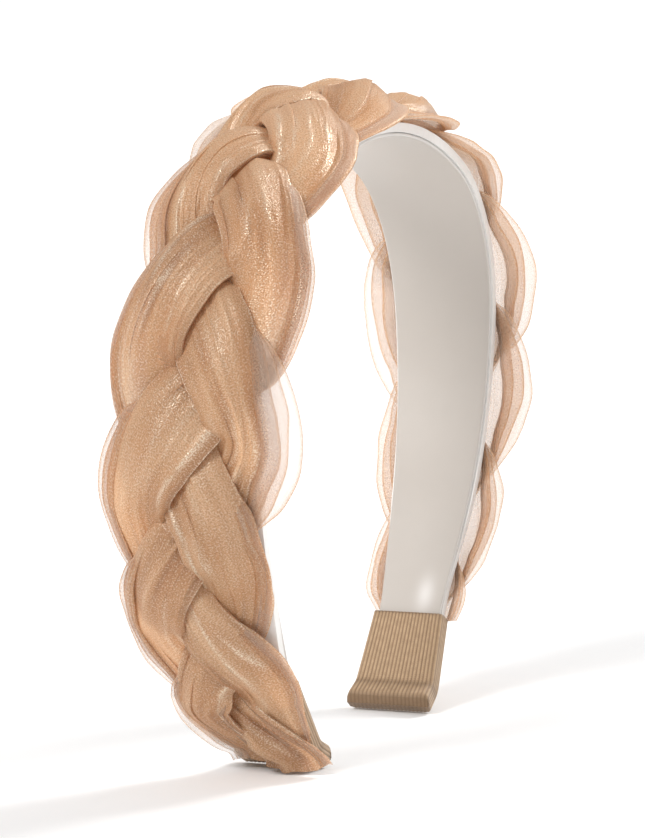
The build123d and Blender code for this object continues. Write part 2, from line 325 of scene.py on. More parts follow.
u = np.linspace(FLAP_END, BRAID_END, SECTIONS)
strands = [strand_path(number, u) for number in range(3)]
paths = [dict(strand) for strand in strands]
for number, strand in enumerate(strands):
    halves = gathered_in(strand, paths[:number] + paths[number + 1:])
    for side, half, period, seed in zip(("back", "front"), halves, (23.0, 20.0), (40, 50)):
        scallop = SCALLOP * wander(u, period, seed + number) * strand["edge"]
        strand[side] = half + strand["shoulder_" + side] + scallop
        strand["dense_" + side] = half * strand["dense_" + side] / strand[side]
    half = np.where(SHARES > 0, strand["back"][:, None], strand["front"][:, None]) * SHARES
    dense = np.where(SHARES > 0, strand["dense_back"][:, None], strand["dense_front"][:, None])
    strand["grid_u"] = strand["u"][:, None] + half * strand["normal_u"][:, None]
    strand["grid_y"] = strand["y"][:, None] + half * strand["normal_y"][:, None]
    strand["thick"] = HEM + strand["loft"][:, None] * dome(SHARES / dense)
print(f"layout: 3 strands of {SECTIONS} sections")

# %% [markdown]
# ## How high each strand lies
#
# Under any point of a strand lie the strands with a lower level there, so its height is
# the sum of their thicknesses. A strand also lifts the cloth a little way past its own
# edge, because cloth under tension spans a step and doesn't fall down it. A few rounds of
# averaging along and across then give the soft slopes of real cloth. The folds come later
# and are not counted.


# %% Heights of the strands
# How far round a point another strand counts, and how far past its edge it still lifts.
SPAN_REACH = 1.4
SPAN_SLOPE = 1.6
LEVEL_STEP = 0.5
WRAP_SLOPE = 3.0
SPAN_ROUNDS = 24
SMOOTH_ROUNDS = 2
SPAN_ANGLES = np.arange(8) * math.pi / 4
SPAN_PLACES = [(0.0, 0.0)] + [(SPAN_REACH * math.cos(a), SPAN_REACH * math.sin(a)) for a in SPAN_ANGLES]


def share_on(other, u, y):
    """For points of the layout: place along another strand, share across it, distance past it."""
    away = np.hypot(u[..., None] - other["u"], y[..., None] - other["y"])
    nearest = away.argmin(-1)
    du, dy = u - other["u"][nearest], y - other["y"][nearest]
    normal_u, normal_y = other["normal_u"][nearest], other["normal_y"][nearest]
    side = du * normal_u + dy * normal_y
    along = du * normal_y - dy * normal_u
    half = np.where(side > 0, other["back"][nearest], other["front"][nearest])
    spacing = (other["u"][1] - other["u"][0]) / normal_y
    return nearest + along / spacing, side / half, np.abs(side) - half


def sampled(values, row, column):
    """A grid's values between its points, from the four points around each place."""
    row = np.clip(row, 0, values.shape[0] - 1.001)
    column = np.clip(column, 0, values.shape[1] - 1.001)
    r, c = row.astype(int), column.astype(int)
    fr, fc = row - r, column - c
    low = values[r, c] * (1 - fc) + values[r, c + 1] * fc
    high = values[r + 1, c] * (1 - fc) + values[r + 1, c + 1] * fc
    return low * (1 - fr) + high * fr


def lifted_by(strand, other):
    """How far another strand lifts this one, and where the two lie close enough to press.

    The other strand's thickness is looked up at each point and at eight points round it, and
    the largest counts. It counts less past the other's edge, and not where the other is over.
    """
    lift = np.zeros(strand["grid_u"].shape)
    for number, (du, dy) in enumerate(SPAN_PLACES):
        section, share, outside = share_on(other, strand["grid_u"] + du, strand["grid_y"] + dy)
        near = np.clip(1.0 - outside / SPAN_SLOPE, 0.0, 1.0)
        column = (np.clip(share, -1, 1) + 1) / 2 * (len(SHARES) - 1)
        lift = np.maximum(lift, near * (sampled(other["thick"], section, column) + GAP))
        if number == 0:
            level = np.interp(section, np.arange(len(other["u"])), other["level"])
            over = np.clip(0.5 + (strand["level"][:, None] - level) / LEVEL_STEP, 0.0, 1.0)
            pressed = (over < 1.0) & (near > 0.0)
    return lift * over, pressed


for strand in strands:
    on_wrap = np.clip(1.0 - (strand["grid_u"] + WRAP_TOP_ARC) / WRAP_SLOPE, 0.0, 1.0)
    floor = GAP + (RIB_OUTSIDE - BAND_TOP) * on_wrap
    pressed = np.zeros(floor.shape, bool)
    for other in strands:
        if other is not strand:
            lift, near = lifted_by(strand, other)
            floor = floor + lift
            pressed |= near
    height = floor.copy()
    for _ in range(SPAN_ROUNDS):
        relaxed = height.copy()
        relaxed[1:-1] = (height[:-2] + height[2:]) / 2
        height = np.where(pressed, floor, np.maximum(floor, relaxed))
    for _ in range(SMOOTH_ROUNDS):
        height[1:-1] = (height[:-2] + 2 * height[1:-1] + height[2:]) / 4
        height[:, 1:-1] = (height[:, :-2] + 2 * height[:, 1:-1] + height[:, 2:]) / 4
    strand["height"] = height
print("heights: up to", ", ".join(f"{s['height'].max():.1f} mm" for s in strands))

# %% [markdown]
# ## Creases and pleats
#
# Gathered cloth has two kinds of lines. Creases are soft crests that run along the strand,
# start and end anywhere and draw together where the strand is squeezed. Stretched noise
# gives them: where a smooth random value passes one half there is a crest. Pleats are
# folds where the cloth turns back on itself for a millimetre, so the curve across the
# strand steps back and the layer above ends in a crisp line.


# %% Creases and pleats
def noise(x, y, seed):
    """Smooth random values from 0 to 1: random corners of a lattice, blended by a smoothstep."""
    table = np.random.default_rng(seed).uniform(0, 1, (64, 64))
    i, j = np.floor(x).astype(int), np.floor(y).astype(int)
    fx, fy = x - i, y - j
    fx, fy = fx * fx * (3 - 2 * fx), fy * fy * (3 - 2 * fy)
    a, b, c, d = (table[(i + p) % 64, (j + q) % 64] for p, q in ((0, 0), (1, 0), (0, 1), (1, 1)))
    return a + (b - a) * fx + (c - a) * fy + (a - b - c + d) * fx * fy


def creases(share, along, seed, count, length):
    """Crests along a strand, 1 on a crest and 0 between two, about as many as the count."""
    place = (share + 1) / 2 * count + 1.3 * noise(along / (2 * length), 0.7 * share + 9, seed + 1)
    value = noise(along / length + 0.4 * share, place, seed)
    return (1 - np.abs(2 * value - 1)) ** 1.3


def pleats(share, along, seed, count, fold, step, spread=0.9):
    """Shares and heights of folds across a strand.

    Around each pleat the share moves by -x exp(-x^2), so it turns back where that is
    steep, and the height steps down by a tanh that fades out further away.
    """
    draw = np.random.default_rng(seed)
    moved, raised = np.zeros(share.shape), np.zeros(share.shape)
    for k in range(count):
        centre = spread * (2 * (k + 0.5) / count - 1) + 0.16 * wander(along, 80.0, seed + 11 * k)
        depth = np.clip(0.35 + 0.9 * wander(along, draw.uniform(35, 65), seed + 7 * k + 3), 0.0, 1.2)
        facing = draw.choice([-1.0, 1.0])
        x = (share - centre) / 0.04
        moved += fold * depth * -x * np.exp(-x ** 2) * 2.33
        raised += step * depth * facing * np.tanh(1.5 * x) * np.exp(-(x / 8) ** 2) * 0.5
    return moved, raised


def cubic(a, b, c, d, t):
    """Between b and c at a share t, the cubic whose slopes there are (c - a) / 2 and (d - b) / 2."""
    return b + 0.5 * t * (c - a + t * (2 * a - 5 * b + 4 * c - d + t * (3 * (b - c) + d - a)))


def smooth_rows(grid, rows):
    """A grid resampled along its rows by a cubic through the four nearest rows."""
    place = np.linspace(0, len(grid) - 1, rows)
    start = np.clip(place.astype(int), 0, len(grid) - 2)
    t = (place - start).reshape((-1,) + (1,) * (grid.ndim - 1))
    return cubic(*(grid[np.clip(start + k, 0, len(grid) - 1)] for k in (-1, 0, 1, 2)), t)


def across(grid, share):
    """Values of a grid at shares across it, by a cubic through the four nearest columns."""
    last = grid.shape[1] - 1
    place = (np.clip(share, -1, 1) + 1) / 2 * last
    start = np.clip(place.astype(int), 0, last - 1)
    t = place - start
    rows = np.arange(len(grid))[:, None]
    return cubic(*(grid[rows, np.clip(start + k, 0, last)] for k in (-1, 0, 1, 2)), t)


# %% [markdown]
# ## Strips of organza
#
# A strand is two strips. The inner one is gathered tight and looks solid. The outer one is
# loose: its loops leave the core's sides, each a little further than the last, so that the
# cloth thins out in steps from tan to almost clear. Each strip's cross-section is one long
# curve with its free ends hidden inside, so each strip is one grid: rows along the strand,
# columns along that curve.

# %% A strand at full fineness
FINE = 350


def crowded(start, end, count):
    """Shares from start to end, closer together near both: part even steps, part a cosine's."""
    even = np.linspace(0.0, 1.0, count)
    eased = (1 - np.cos(np.pi * even)) / 2
    return start + (end - start) * (0.55 * even + 0.45 * eased)


class Strand:
    """A strand's lines at full fineness, with the height of its dense core."""

    def __init__(self, strand):
        self.line = {key: smooth_rows(value[:, None] if value.ndim == 1 else value, FINE)
                     for key, value in strand.items() if key != "number"}
        self.seed = 100 * (strand["number"] + 1)
        self.along = self.line["u"]
        self.tight = 1.0 - self.line["edge"]

    def reach(self, share):
        """Millimetres across the strand at a share of its half width."""
        return np.where(share > 0, self.line["back"], self.line["front"]) * share

    def whole(self, dense):
        """A share of the dense core's half width counted from the whole half width."""
        return dense * np.where(dense > 0, self.line["dense_back"], self.line["dense_front"])

    def relief(self, q):
        """Rise and fall of the core's folds in millimetres, at shares of the core's half width."""
        broad = 2 * noise(self.along / 21.0, 1.3 * q + 4, self.seed + 20) - 1
        long = creases(q, self.along, self.seed + 21, 3.0, 24.0) ** 1.5
        short = creases(q, self.along, self.seed + 23, 9.0, 9.0)
        drawn = np.clip(noise(self.along / 24.0, 0.9 * q + 3, self.seed + 27) * 2.6 - 0.8, 0.0, 1.0)
        fine = creases(q, self.along, self.seed + 25, 13.0, 26.0) - 0.4
        return (0.7 * broad + 0.8 * (long - 0.4) + 0.30 * self.tight ** 2 * short
                + 0.34 * drawn * fine + 0.3 * self.crest(q, 21, 4))

    def core_height(self, q):
        """Height of the core's top at shares of the core's half width, with its folds."""
        fade = np.clip((1 - np.abs(q)) * 4, 0.0, 1.0)
        flatter = np.minimum(self.line["loft"] / 2.5, 1.0)
        return HEM + self.line["loft"] * dome(q) + self.relief(q) * fade * flatter

    def crest(self, share, seed, count):
        """Sharp ridges, raised a little in the core's folds and given a painted cream highlight: lines
        e^(-x^2) that wander and fade out and in.
        """
        draw = np.random.default_rng(self.seed + seed)
        best = np.zeros(share.shape)
        for k in range(count):
            centre = 0.85 * (2 * (k + 0.5) / count - 1)
            centre = centre + 0.18 * wander(self.along, 60.0, self.seed + seed + 5 * k)
            patches = noise(self.along / 12.0, 3.7 * k + 0 * share, self.seed + seed + 2)
            ridge = np.exp(-((share - centre) / draw.uniform(0.04, 0.11)) ** 2)
            best = np.maximum(best, np.clip(patches * 3.2 - 1.7, 0, 1) * ridge)
        grain = noise(self.along / 2.5, 9 * share + 30, self.seed + seed + 3)
        return best * np.clip(grain * 2.0 - 0.2, 0, 1)

    def streaks(self, share, seed, count):
        """Long lighter and darker lines along the strand, from 0 to 1, where layers overlap."""
        place = (share + 1) * count / 2 + 0.8 * noise(self.along / 30.0, share + 5, self.seed + seed + 1)
        wide = noise(self.along / 30.0, place, self.seed + seed)
        fine = noise(self.along / 18.0, 2.7 * place, self.seed + seed + 3)
        return np.clip((0.65 * wide + 0.35 * fine - 0.25) * 2.0, 0.0, 1.0)

    def leg(self, share, height, cover, crest, fold):
        """One leg of a cross-section: places and heights at shares of the whole width, and values."""
        half = self.reach(share)
        u = self.line["u"] + half * self.line["normal_u"]
        y = self.line["y"] + half * self.line["normal_y"]
        values = (np.broadcast_to(value, share.shape) for value in (cover, crest, fold))
        return (u, y, across(self.line["height"], share) + height, *values)

    def joined(self, legs):
        """One grid of points from the legs of a cross-section, its map, values and flat size.

        The flat size is the mean distance travelled across the strip and along it.
        """
        u, y, height, cover, crest, fold = (np.concatenate(parts, axis=1) for parts in zip(*legs))
        points = stand(u, y, BAND_TOP + height)
        points[..., 2] = np.maximum(points[..., 2], FLOOR_GAP * MM)
        width_run, length_run = run_lengths(points, 1), run_lengths(points, 0)
        middle = length_run[:, points.shape[1] // 2][:, None] + 0 * width_run
        uv = np.stack([width_run, middle], axis=-1) * 10
        flat = float(width_run[:, -1].mean()), float(length_run[-1].mean())
        # Painted shade: the tan is painted deeper where the strand is pinched between crossings, less so
        # where light comes through the cloth.
        tight = np.broadcast_to(self.tight * (1 - 0.8 * self.line["glow"]), u.shape)
        return points, uv, {"cover": cover, "tight": tight, "crest": crest, "fold": fold}, flat


# %% [markdown]
# The inner strip is the part that looks solid. Its free ends meet under the strand. Its
# values say how many layers lie there, where a ridge shines and where a fold is deep.

# %% The inner strip
UNDER_COLUMNS, TOP_COLUMNS, AFTER_COLUMNS = 16, 132, 20
UNDERSIDE = 0.1
CLEARER, CLEARER_FROM, CLEARER_OVER = 0.62, -5.0, 40.0


def core_strip(body):
    """The tightly gathered inner strip: pleated on top, flat underneath.

    On top the height is the dome with its folds and pleats. The cover falls from the middle
    to the edge in streaks. It also falls over 40 mm round the crown, since the photograph
    shows the right arm paler.
    """
    one, glow = np.ones((FINE, 1)), body.line["glow"]
    q = one * crowded(1.0, -1.0, TOP_COLUMNS)
    fade = np.clip((1 - np.abs(q)) * 5, 0.0, 1.0)
    moved, raised = pleats(q, body.along, body.seed, 2, 0.04, 0.5, 0.6)
    top = body.core_height(q) + raised * fade

    near_edge = np.clip((np.abs(q) - 0.5) / 0.5, 0, 1) * body.line["edge"]
    at_edge = near_edge * (0.05 + (0.45 + body.line["sheer"]) * body.streaks(q, 60, 7))
    thin = 0.95 - 0.15 * body.streaks(q, 66, 4) - at_edge
    thin *= 1 - CLEARER * np.clip((body.along - CLEARER_FROM) / CLEARER_OVER, 0.0, 1.0)
    patchy = np.clip(noise(body.along / 9.0, 2 * q + 5, body.seed + 33) * 2.4 - 0.6, 0.1, 0.9)
    # Painted highlight: the crest value paints cream on the ridges and, in patches, along the folded edge
    # of the strip.
    crest = np.maximum(body.crest(q, 21, 4), patchy * np.exp(-((1 - np.abs(q)) / 0.025) ** 2))
    # Painted shade and light: the fold value paints the relief's valleys darker and its ridges lighter,
    # and paints cloth lighter where light comes through it; its streaks are lines of layers.
    fold = 0.5 + 0.45 * body.relief(q) + 0.50 * glow
    fold = fold + (0.50 + 0.2 * glow) * (body.streaks(q, 70, 6) - 0.5)

    behind = 0.30 * (1 - 0.7 * glow)
    under, after = one * crowded(0.1, 0.98, UNDER_COLUMNS), one * crowded(-0.98, 0.1, AFTER_COLUMNS)
    return body.joined([
        body.leg(body.whole(under), UNDERSIDE, behind, 0.0, 0.7),
        body.leg(body.whole(q + moved * fade), top, thin, crest, np.clip(fold, 0.0, 1.0)),
        body.leg(body.whole(after), UNDERSIDE, behind, 0.0, 0.7),
    ])


# %% [markdown]
# The outer strip is one layer thin. What gives it away on the real headband is its edge,
# where it is seen on end and doubled by a hem, so its loops carry a fine denser line there.

# %% The outer strip
# How far past the core each loop of the veil reaches, and its thinnest and thickest cover.
LOOPS = ((0.36, 0.30, 0.72), (0.68, 0.22, 0.50), (1.00, 0.17, 0.34))
# Where a loop starts and leaves the core, in shares of its edge, and its furthest share.
INSIDE, LEAVING, FURTHEST = 0.80, 0.94, 1.03
HEM_LINE, ABOUT_HALF = 0.35, 10.0
OUT_COLUMNS, HOME_COLUMNS = 22, 14


def veil_strip(body):
    """The loose outer strip: on each side three loops that leave the core one past the other.

    A loop is a flat tube. Its middle line sinks from inside the core to the edge, and its
    two walls stand apart by the root of t (1 - t), t being the share from core to edge.
    """
    one, glow = np.ones((FINE, 1)), body.line["glow"]
    out, home = one * crowded(0.0, 1.0, OUT_COLUMNS), one * crowded(1.0, 0.0, HOME_COLUMNS)
    legs = []
    for side, key in ((1, "back"), (-1, "front")):
        core_edge = body.line["dense_" + key]
        opened = np.clip(3 * body.line["lobe_" + key], 0.0, 1.0)
        inside, leaving = INSIDE * core_edge, LEAVING * core_edge
        for number, (wide, thin, thick) in enumerate(LOOPS):
            seed = body.seed + 300 + 40 * number + (20 if side > 0 else 0)
            limit = core_edge + (1 - core_edge) * wide * (1 + 0.10 * wander(body.along, 26.0, seed))
            limit = leaving + (np.minimum(limit, FURTHEST) - leaving) * opened
            start = HEM + body.line["loft"] * dome(INSIDE) * (0.95 - 0.25 * number)
            apart = 0.12 + body.line["loft"] * (0.26 + 0.12 * wander(body.along, 33.0, seed + 5)) * opened
            for t, above in ((out, 1.0), (home, -1.0)):
                share = side * (inside + (limit - inside) * t)
                middle = start * (1 - t) ** 1.4 + (0.35 + body.line["raised_" + key] * wide) * t ** 1.4
                wave = creases(side * t, body.along, seed + 7, 3.0, 17.0) - 0.35
                height = middle + above * apart * np.sqrt(t * (1 - t)) + 0.5 * wave * np.sin(np.pi * t)
                hem = np.exp(-((1 - t) * (limit - inside) * ABOUT_HALF / HEM_LINE) ** 2)
                cover = thin + (thick - thin) * body.streaks(side * t, seed + 9, 3.0)
                cover = cover * (1 - body.line["sheer"]) * (1 - 0.4 * glow) + 0.16 * glow + 0.25 * hem
                # Painted highlight: ridges and the hem line get cream, more on the upper wall, which faces
                # the light. The fold value paints cloth lighter where light comes through.
                crest = np.maximum(body.crest(side * t, seed + 11, 2), 0.35 * hem) * (0.75 + 0.25 * above)
                legs.append(body.leg(share, height, cover, crest, 0.5 + 0.4 * glow))
    return body.joined(legs)


# %% Both strips of each strand
strips = []
for strand, name in zip(strands, ("strand_back", "strand_middle", "strand_front")):
    body = Strand(strand)
    for kind, roll in (("core", core_strip), ("veil", veil_strip)):
        points, uv, values, flat = roll(body)
        piece = surface(f"organza_{kind}_{name}", points, uv, values)
        strips.append((piece, name, flat))
        print(f"{piece.name}: {len(piece.data.polygons) * 2} triangles, strip "
              f"{flat[0] * 1000:.0f} x {flat[1] * 1000:.0f} mm")

# %% [markdown]
# ## Satin lining
#
# A strip of satin covers the inner face. It is stretched round the band, so it is smooth,
# with a thin turned edge. A grid of arc by width, with its edges rounded over by a small
# radius, is enough; the shine comes from the material.

# %% Satin lining
CROWN_WIDTH = 26.5
WRAP_TOP_WIDTH = 14.8
TIP_WIDTH = 17.4
# Share of the height above the wraps, share of the widening.
WIDENING = np.array(((0.0, 0.0), (0.17, 0.30), (0.34, 0.53), (0.68, 0.83), (0.93, 0.95), (1.0, 1.0)))


def half_width(arc):
    """Half the band's width at an arc, from its height above the top of the wrap.

    Above the wrap a table gives it, and along the wrap it grows evenly to the tip.
    """
    _, z, _ = line_points(arc, 0.0)
    _, wrap_top, _ = line_points(WRAP_TOP_ARC, 0.0)
    share = np.interp(1.0 - z / wrap_top, WIDENING[:, 0], WIDENING[:, 1])
    above = WRAP_TOP_WIDTH + (CROWN_WIDTH - WRAP_TOP_WIDTH) * share
    down = np.clip((np.abs(arc) - WRAP_TOP_ARC) / WRAP_ARC, 0.0, 1.0)
    return (above + (TIP_WIDTH - WRAP_TOP_WIDTH) * down) / 2


arcs = np.linspace(-TIP_ARC, TIP_ARC, 361)
kernel = np.hanning(23)
widths = np.convolve(np.pad(half_width(arcs), 11, mode="edge"), kernel / kernel.sum(), mode="valid")
turn = np.linspace(-1, 1, 49)
FLAT_SHARE, INSET, ROLL_RADIUS, OFF_BAND = 0.8, 0.3, 0.45, 0.02
flat_width = widths[:, None] - INSET - ROLL_RADIUS
rolled = np.clip(np.abs(turn) - FLAT_SHARE, 0, None) / (1 - FLAT_SHARE) * np.pi
is_flat = np.abs(turn) < FLAT_SHARE
y = np.where(is_flat, np.abs(turn) / FLAT_SHARE * flat_width, flat_width + ROLL_RADIUS * np.sin(rolled))
y = np.sign(turn) * y
offset = OFF_BAND + np.where(is_flat, 0.0, ROLL_RADIUS - ROLL_RADIUS * np.cos(rolled)) + 0 * y
points = stand(arcs[:, None] + 0 * y, y, offset)
uv = np.stack([run_lengths(points, 1), run_lengths(points, 0)], axis=-1) * 10
# Painted highlight: the cloth is painted lighter along its turned edge and in a patch just above the
# wraps, as a sheen.
SHEEN_ARC, SHEEN_Y, SHEEN_LONG, SHEEN_WIDE = WRAP_TOP_ARC - 5.0, -3.0, 4.0, 2.0
above_wrap, across_band = (SHEEN_ARC - np.abs(arcs[:, None])) / SHEEN_LONG, (y - SHEEN_Y) / SHEEN_WIDE
sheen = 0.8 * np.exp(-(above_wrap ** 2) - across_band ** 2) + 0.7 * (np.abs(turn) > 0.85)
lining = surface("satin_lining_cover", points, uv, {"sheen": np.clip(sheen, 0, 1)})
print(f"lining: {len(lining.data.polygons)} faces")

# %% [markdown]
# ## Folded ribbon at the tips
#
# A short piece of ribbed ribbon is glued over each tip, from the inner face round the end
# to the outer face. Its ribs run down the band. The cross-section is a flat ring round
# band and lining with the ribs as a fine wave on it. Towards the end the ring closes.

# %% Tip wraps
RIB_PITCH = 0.86
RIB_DEPTH = 0.16
RING_INSIDE, RING_OUTSIDE, RING_ASIDE = -0.85, 3.85, 0.85
RING_CORNER = 1.0
WRAP_ROWS, WRAP_COLUMNS = 44, 520
CUT_EDGE = 0.8


def box_ring(half_y, half_t, radius, count):
    """Points and outward normals of a box with rounded corners, evenly spaced round it.

    Straight runs and quarter turns follow each other. On a run the point is the normal times
    the half side plus a step along the run, on a turn a corner's centre plus radius times
    the normal.
    """
    run_y, run_t, quarter = 2 * (half_y - radius), 2 * (half_t - radius), np.pi * radius / 2
    total = 2 * (run_y + run_t) + 4 * quarter
    s = np.linspace(0, 1, count, endpoint=False) * total
    marks = np.cumsum([0] + [run_y, quarter, run_t, quarter] * 2)
    points, normals = np.zeros((2, count)), np.zeros((2, count))
    for k in range(4):
        facing = (k - 1) * np.pi / 2
        normal = np.array([[np.cos(facing)], [np.sin(facing)]])
        along = np.array([[-np.sin(facing)], [np.cos(facing)]])
        reach, length = (half_t, run_y) if k % 2 == 0 else (half_y, run_t)
        on = (s >= marks[2 * k]) & (s < marks[2 * k + 1])
        points[:, on] = normal * reach + along * (s[on] - marks[2 * k] - length / 2)
        normals[:, on] = normal
        on = (s >= marks[2 * k + 1]) & (s < marks[2 * k + 2])
        angle = facing + (s[on] - marks[2 * k + 1]) / radius
        centre = np.array([[(half_y - radius) * (1 if k in (0, 1) else -1)],
                           [(half_t - radius) * (-1 if k in (0, 3) else 1)]])
        normals[:, on] = np.cos(angle), np.sin(angle)
        points[:, on] = centre + radius * normals[:, on]
    return s, total, points, normals


def tip_wrap(side, name):
    """Ring of a rounded box round the band, carried down to the tip, with a ribbed surface.

    The ribs are a cosine's size along the ring, added along its normals. The first row lies
    inside the second and closes the ribbon's cut edge against the band. At the tip the ring's
    thickness shrinks as a circle does.
    """
    arc = np.linspace(WRAP_TOP_ARC - 0.1, TIP_ARC + 0.75, WRAP_ROWS - 1)
    arc = np.append(arc[0], arc)
    cut_edge = np.where(np.arange(WRAP_ROWS) == 0, CUT_EDGE, 0.0)[:, None]
    end = np.clip((arc - (TIP_ARC - 1.0)) / 1.75, 0.0, 1.0)
    shrink = np.sqrt(np.clip(1 - end ** 2, 0.0, 1.0))[:, None]
    half_y = half_width(arc) + RING_ASIDE
    mean_half_y, half_t = float(half_y.mean()), (RING_OUTSIDE - RING_INSIDE) / 2

    s, total, ring, normals = box_ring(mean_half_y, half_t, RING_CORNER, WRAP_COLUMNS)
    wave = np.abs(np.cos(np.pi * round(total / RIB_PITCH) * s / total)) ** 0.7
    ring = ring + normals * wave * RIB_DEPTH
    y = ring[0] / mean_half_y * (half_y[:, None] - cut_edge)
    offset = (RING_INSIDE + RING_OUTSIDE) / 2 + ring[1] * shrink * (1 - cut_edge / half_t)
    points = stand(side * arc[:, None] + 0 * y, y, offset)
    uv = np.stack([np.broadcast_to(s / 100, y.shape), run_lengths(points, 0) * 10], axis=-1)

    # Painted shade: darker at the fold above the tip, at the tip and under the cut edge.
    lines = (
        # arc, half width, how dark
        (WRAP_TOP_ARC + 0.80 * WRAP_ARC, 1.1, 0.45),
        (TIP_ARC + 0.5, 0.9, 0.8),
        (WRAP_TOP_ARC, 0.35, 0.6),
    )
    shaded = sum(dark * np.exp(-((arc - place) / wide) ** 2) for place, wide, dark in lines)
    values = {"rib": np.broadcast_to(wave, y.shape),
              "shaded": np.broadcast_to(np.clip(shaded, 0, 1)[:, None], y.shape)}
    piece = surface(name, points, uv, values, closed=True, turned=side > 0)
    return piece, (total * MM, WRAP_ARC * MM)


wraps = [tip_wrap(-1, "ribbon_wrap_left"), tip_wrap(1, "ribbon_wrap_right")]
print("wraps:", ", ".join(piece.name for piece, _ in wraps))

# %% [markdown]
# ## Finishes
#
# All finishes are made of nodes: noise and waves on the cloth's own map, and values that the
# shapes above left on the cloth.


# %% Node helpers
def fill(tree, socket, value):
    """Sets a socket to a number or a colour, or links another one to it."""
    if isinstance(value, (int, float, tuple)):
        socket.default_value = value
    else:
        tree.links.new(value, socket)


def node(tree, kind, **settings):
    """A new node with its settings; in_ before a name fills the input of that name."""
    made = tree.nodes.new(kind)
    for key, value in settings.items():
        if key.startswith("in_"):
            fill(tree, made.inputs[key[3:].replace("_", " ")], value)
        else:
            setattr(made, key, value)
    return made


def maths(tree, operation, a, b, clamp=False):
    """The result of a Math node; a and b are numbers or outlets."""
    made = node(tree, "ShaderNodeMath", operation=operation, use_clamp=clamp)
    fill(tree, made.inputs[0], a)
    fill(tree, made.inputs[1], b)
    return made.outputs[0]


def mixed(tree, factor, a, b):
    """A colour between two, by a factor."""
    made = node(tree, "ShaderNodeMix", data_type="RGBA")
    fill(tree, made.inputs[0], factor)
    fill(tree, made.inputs[6], a)
    fill(tree, made.inputs[7], b)
    return made.outputs[2]


def mapped(tree, value, low, high, to_low=0.0, to_high=1.0):
    """A value moved from one range to another and kept inside it."""
    made = node(tree, "ShaderNodeMapRange", in_Value=value, in_From_Min=low, in_From_Max=high,
                in_To_Min=to_low, in_To_Max=to_high)
    return made.outputs["Result"]


def noise_on(tree, vector, scale, detail, roughness=0.5):
    """A noise texture's value on a map, from 0 to 1."""
    made = node(tree, "ShaderNodeTexNoise", in_Vector=vector, in_Scale=scale, in_Detail=detail,
                in_Roughness=roughness)
    return made.outputs["Fac"]


def attribute(tree, name):
    """A value that a shape left on its points."""
    return node(tree, "ShaderNodeAttribute", attribute_name=name).outputs["Fac"]


def bump(tree, height, strength, distance):
    """A small relief for a shader's normal."""
    made = node(tree, "ShaderNodeBump", in_Strength=strength, in_Distance=distance, in_Height=height)
    return made.outputs[0]


def blended(tree, factor, a, b):
    """A shader between two, by a number or a value."""
    made = node(tree, "ShaderNodeMixShader")
    for socket, value in zip(made.inputs, (factor, a, b)):
        fill(tree, socket, value)
    return made.outputs[0]


def material(name):
    """An empty node material, its tree and the socket for its surface."""
    made = bpy.data.materials.new(name)
    made.use_nodes = True
    made.node_tree.nodes.clear()
    out = node(made.node_tree, "ShaderNodeOutputMaterial")
    return made, made.node_tree, out.inputs["Surface"]


# %% [markdown]
# Organza is thin and shiny. One layer lets most of the light through, less where it is seen
# edge on, and many layers together look solid tan. Not every layer is drawn. The cover, how
# much one surface hides, is a value on the cloth, and the angle does the rest:
# 1 - (1 - cover)^(1 / cosine). The same cloth then looks pearly at a wing and tan in a
# fold. Its single threads show as a fine grain, and some catch the light.

# %% Organza
LEAST_COSINE = 0.16
organza, tree, out = material("organza")
cover, tight, crest, fold = (attribute(tree, name) for name in ("cover", "tight", "crest", "fold"))
cloth_map = node(tree, "ShaderNodeUVMap", uv_map="cloth").outputs[0]
facing = node(tree, "ShaderNodeLayerWeight", in_Blend=0.5).outputs["Facing"]
cosine = maths(tree, "MAXIMUM", maths(tree, "SUBTRACT", 1.0, facing), LEAST_COSINE)
bare = maths(tree, "SUBTRACT", 1.0, cover, clamp=True)
clear = maths(tree, "POWER", bare, maths(tree, "DIVIDE", 1.0, cosine))
solid = maths(tree, "SUBTRACT", 1.0, clear, clamp=True)

flecks = noise_on(tree, cloth_map, 310.0, 0.0)
drift = noise_on(tree, cloth_map, 9.0, 1.0)
# Long fine crinkles along the strand, and short cross ones where it is squeezed.
stretched = node(tree, "ShaderNodeMapping", in_Vector=cloth_map, in_Scale=(60.0, 16.0, 1.0))
crinkle = noise_on(tree, stretched.outputs[0], 1.0, 1.0, 0.6)
squeezed = node(tree, "ShaderNodeMapping", in_Vector=cloth_map, in_Scale=(14.0, 110.0, 1.0))
cross = noise_on(tree, squeezed.outputs[0], 1.0, 0.0)

tan = (0.70, 0.385, 0.185, 1.0)
deep = (0.43, 0.225, 0.125, 1.0)
sheer = (0.79, 0.72, 0.67, 1.0)
light = (0.90, 0.61, 0.37, 1.0)
cream = (1.0, 0.88, 0.72, 1.0)
SHADES = (
    # value, from, to, share at from, share at to, shade
    (drift, 0.40, 0.75, 0.0, 0.4, light),
    # Painted shade and highlight: a valley between folds is painted deeper, partly for its extra layers
    # and partly as shade, and a ridge, and cloth lit from behind, is painted lighter.
    (fold, 0.15, 0.50, 0.70, 0.0, deep),
    (fold, 0.50, 1.00, 0.0, 0.75, light),
    (cover, 0.12, 0.48, 1.0, 0.0, sheer),
    # Single threads are darker or lighter, and on a sharp ridge some get a painted cream highlight.
    (flecks, 0.25, 0.50, 0.45, 0.0, deep),
    (flecks, 0.52, 0.75, 0.0, 0.45, cream),
)
# Painted shade: where strands are pinched between crossings the tan is painted deeper, partly for the
# denser cloth.
colour = mixed(tree, maths(tree, "MULTIPLY", tight, 0.30), tan, deep)
for value, *change, shade in SHADES:
    colour = mixed(tree, mapped(tree, value, *change), colour, shade)
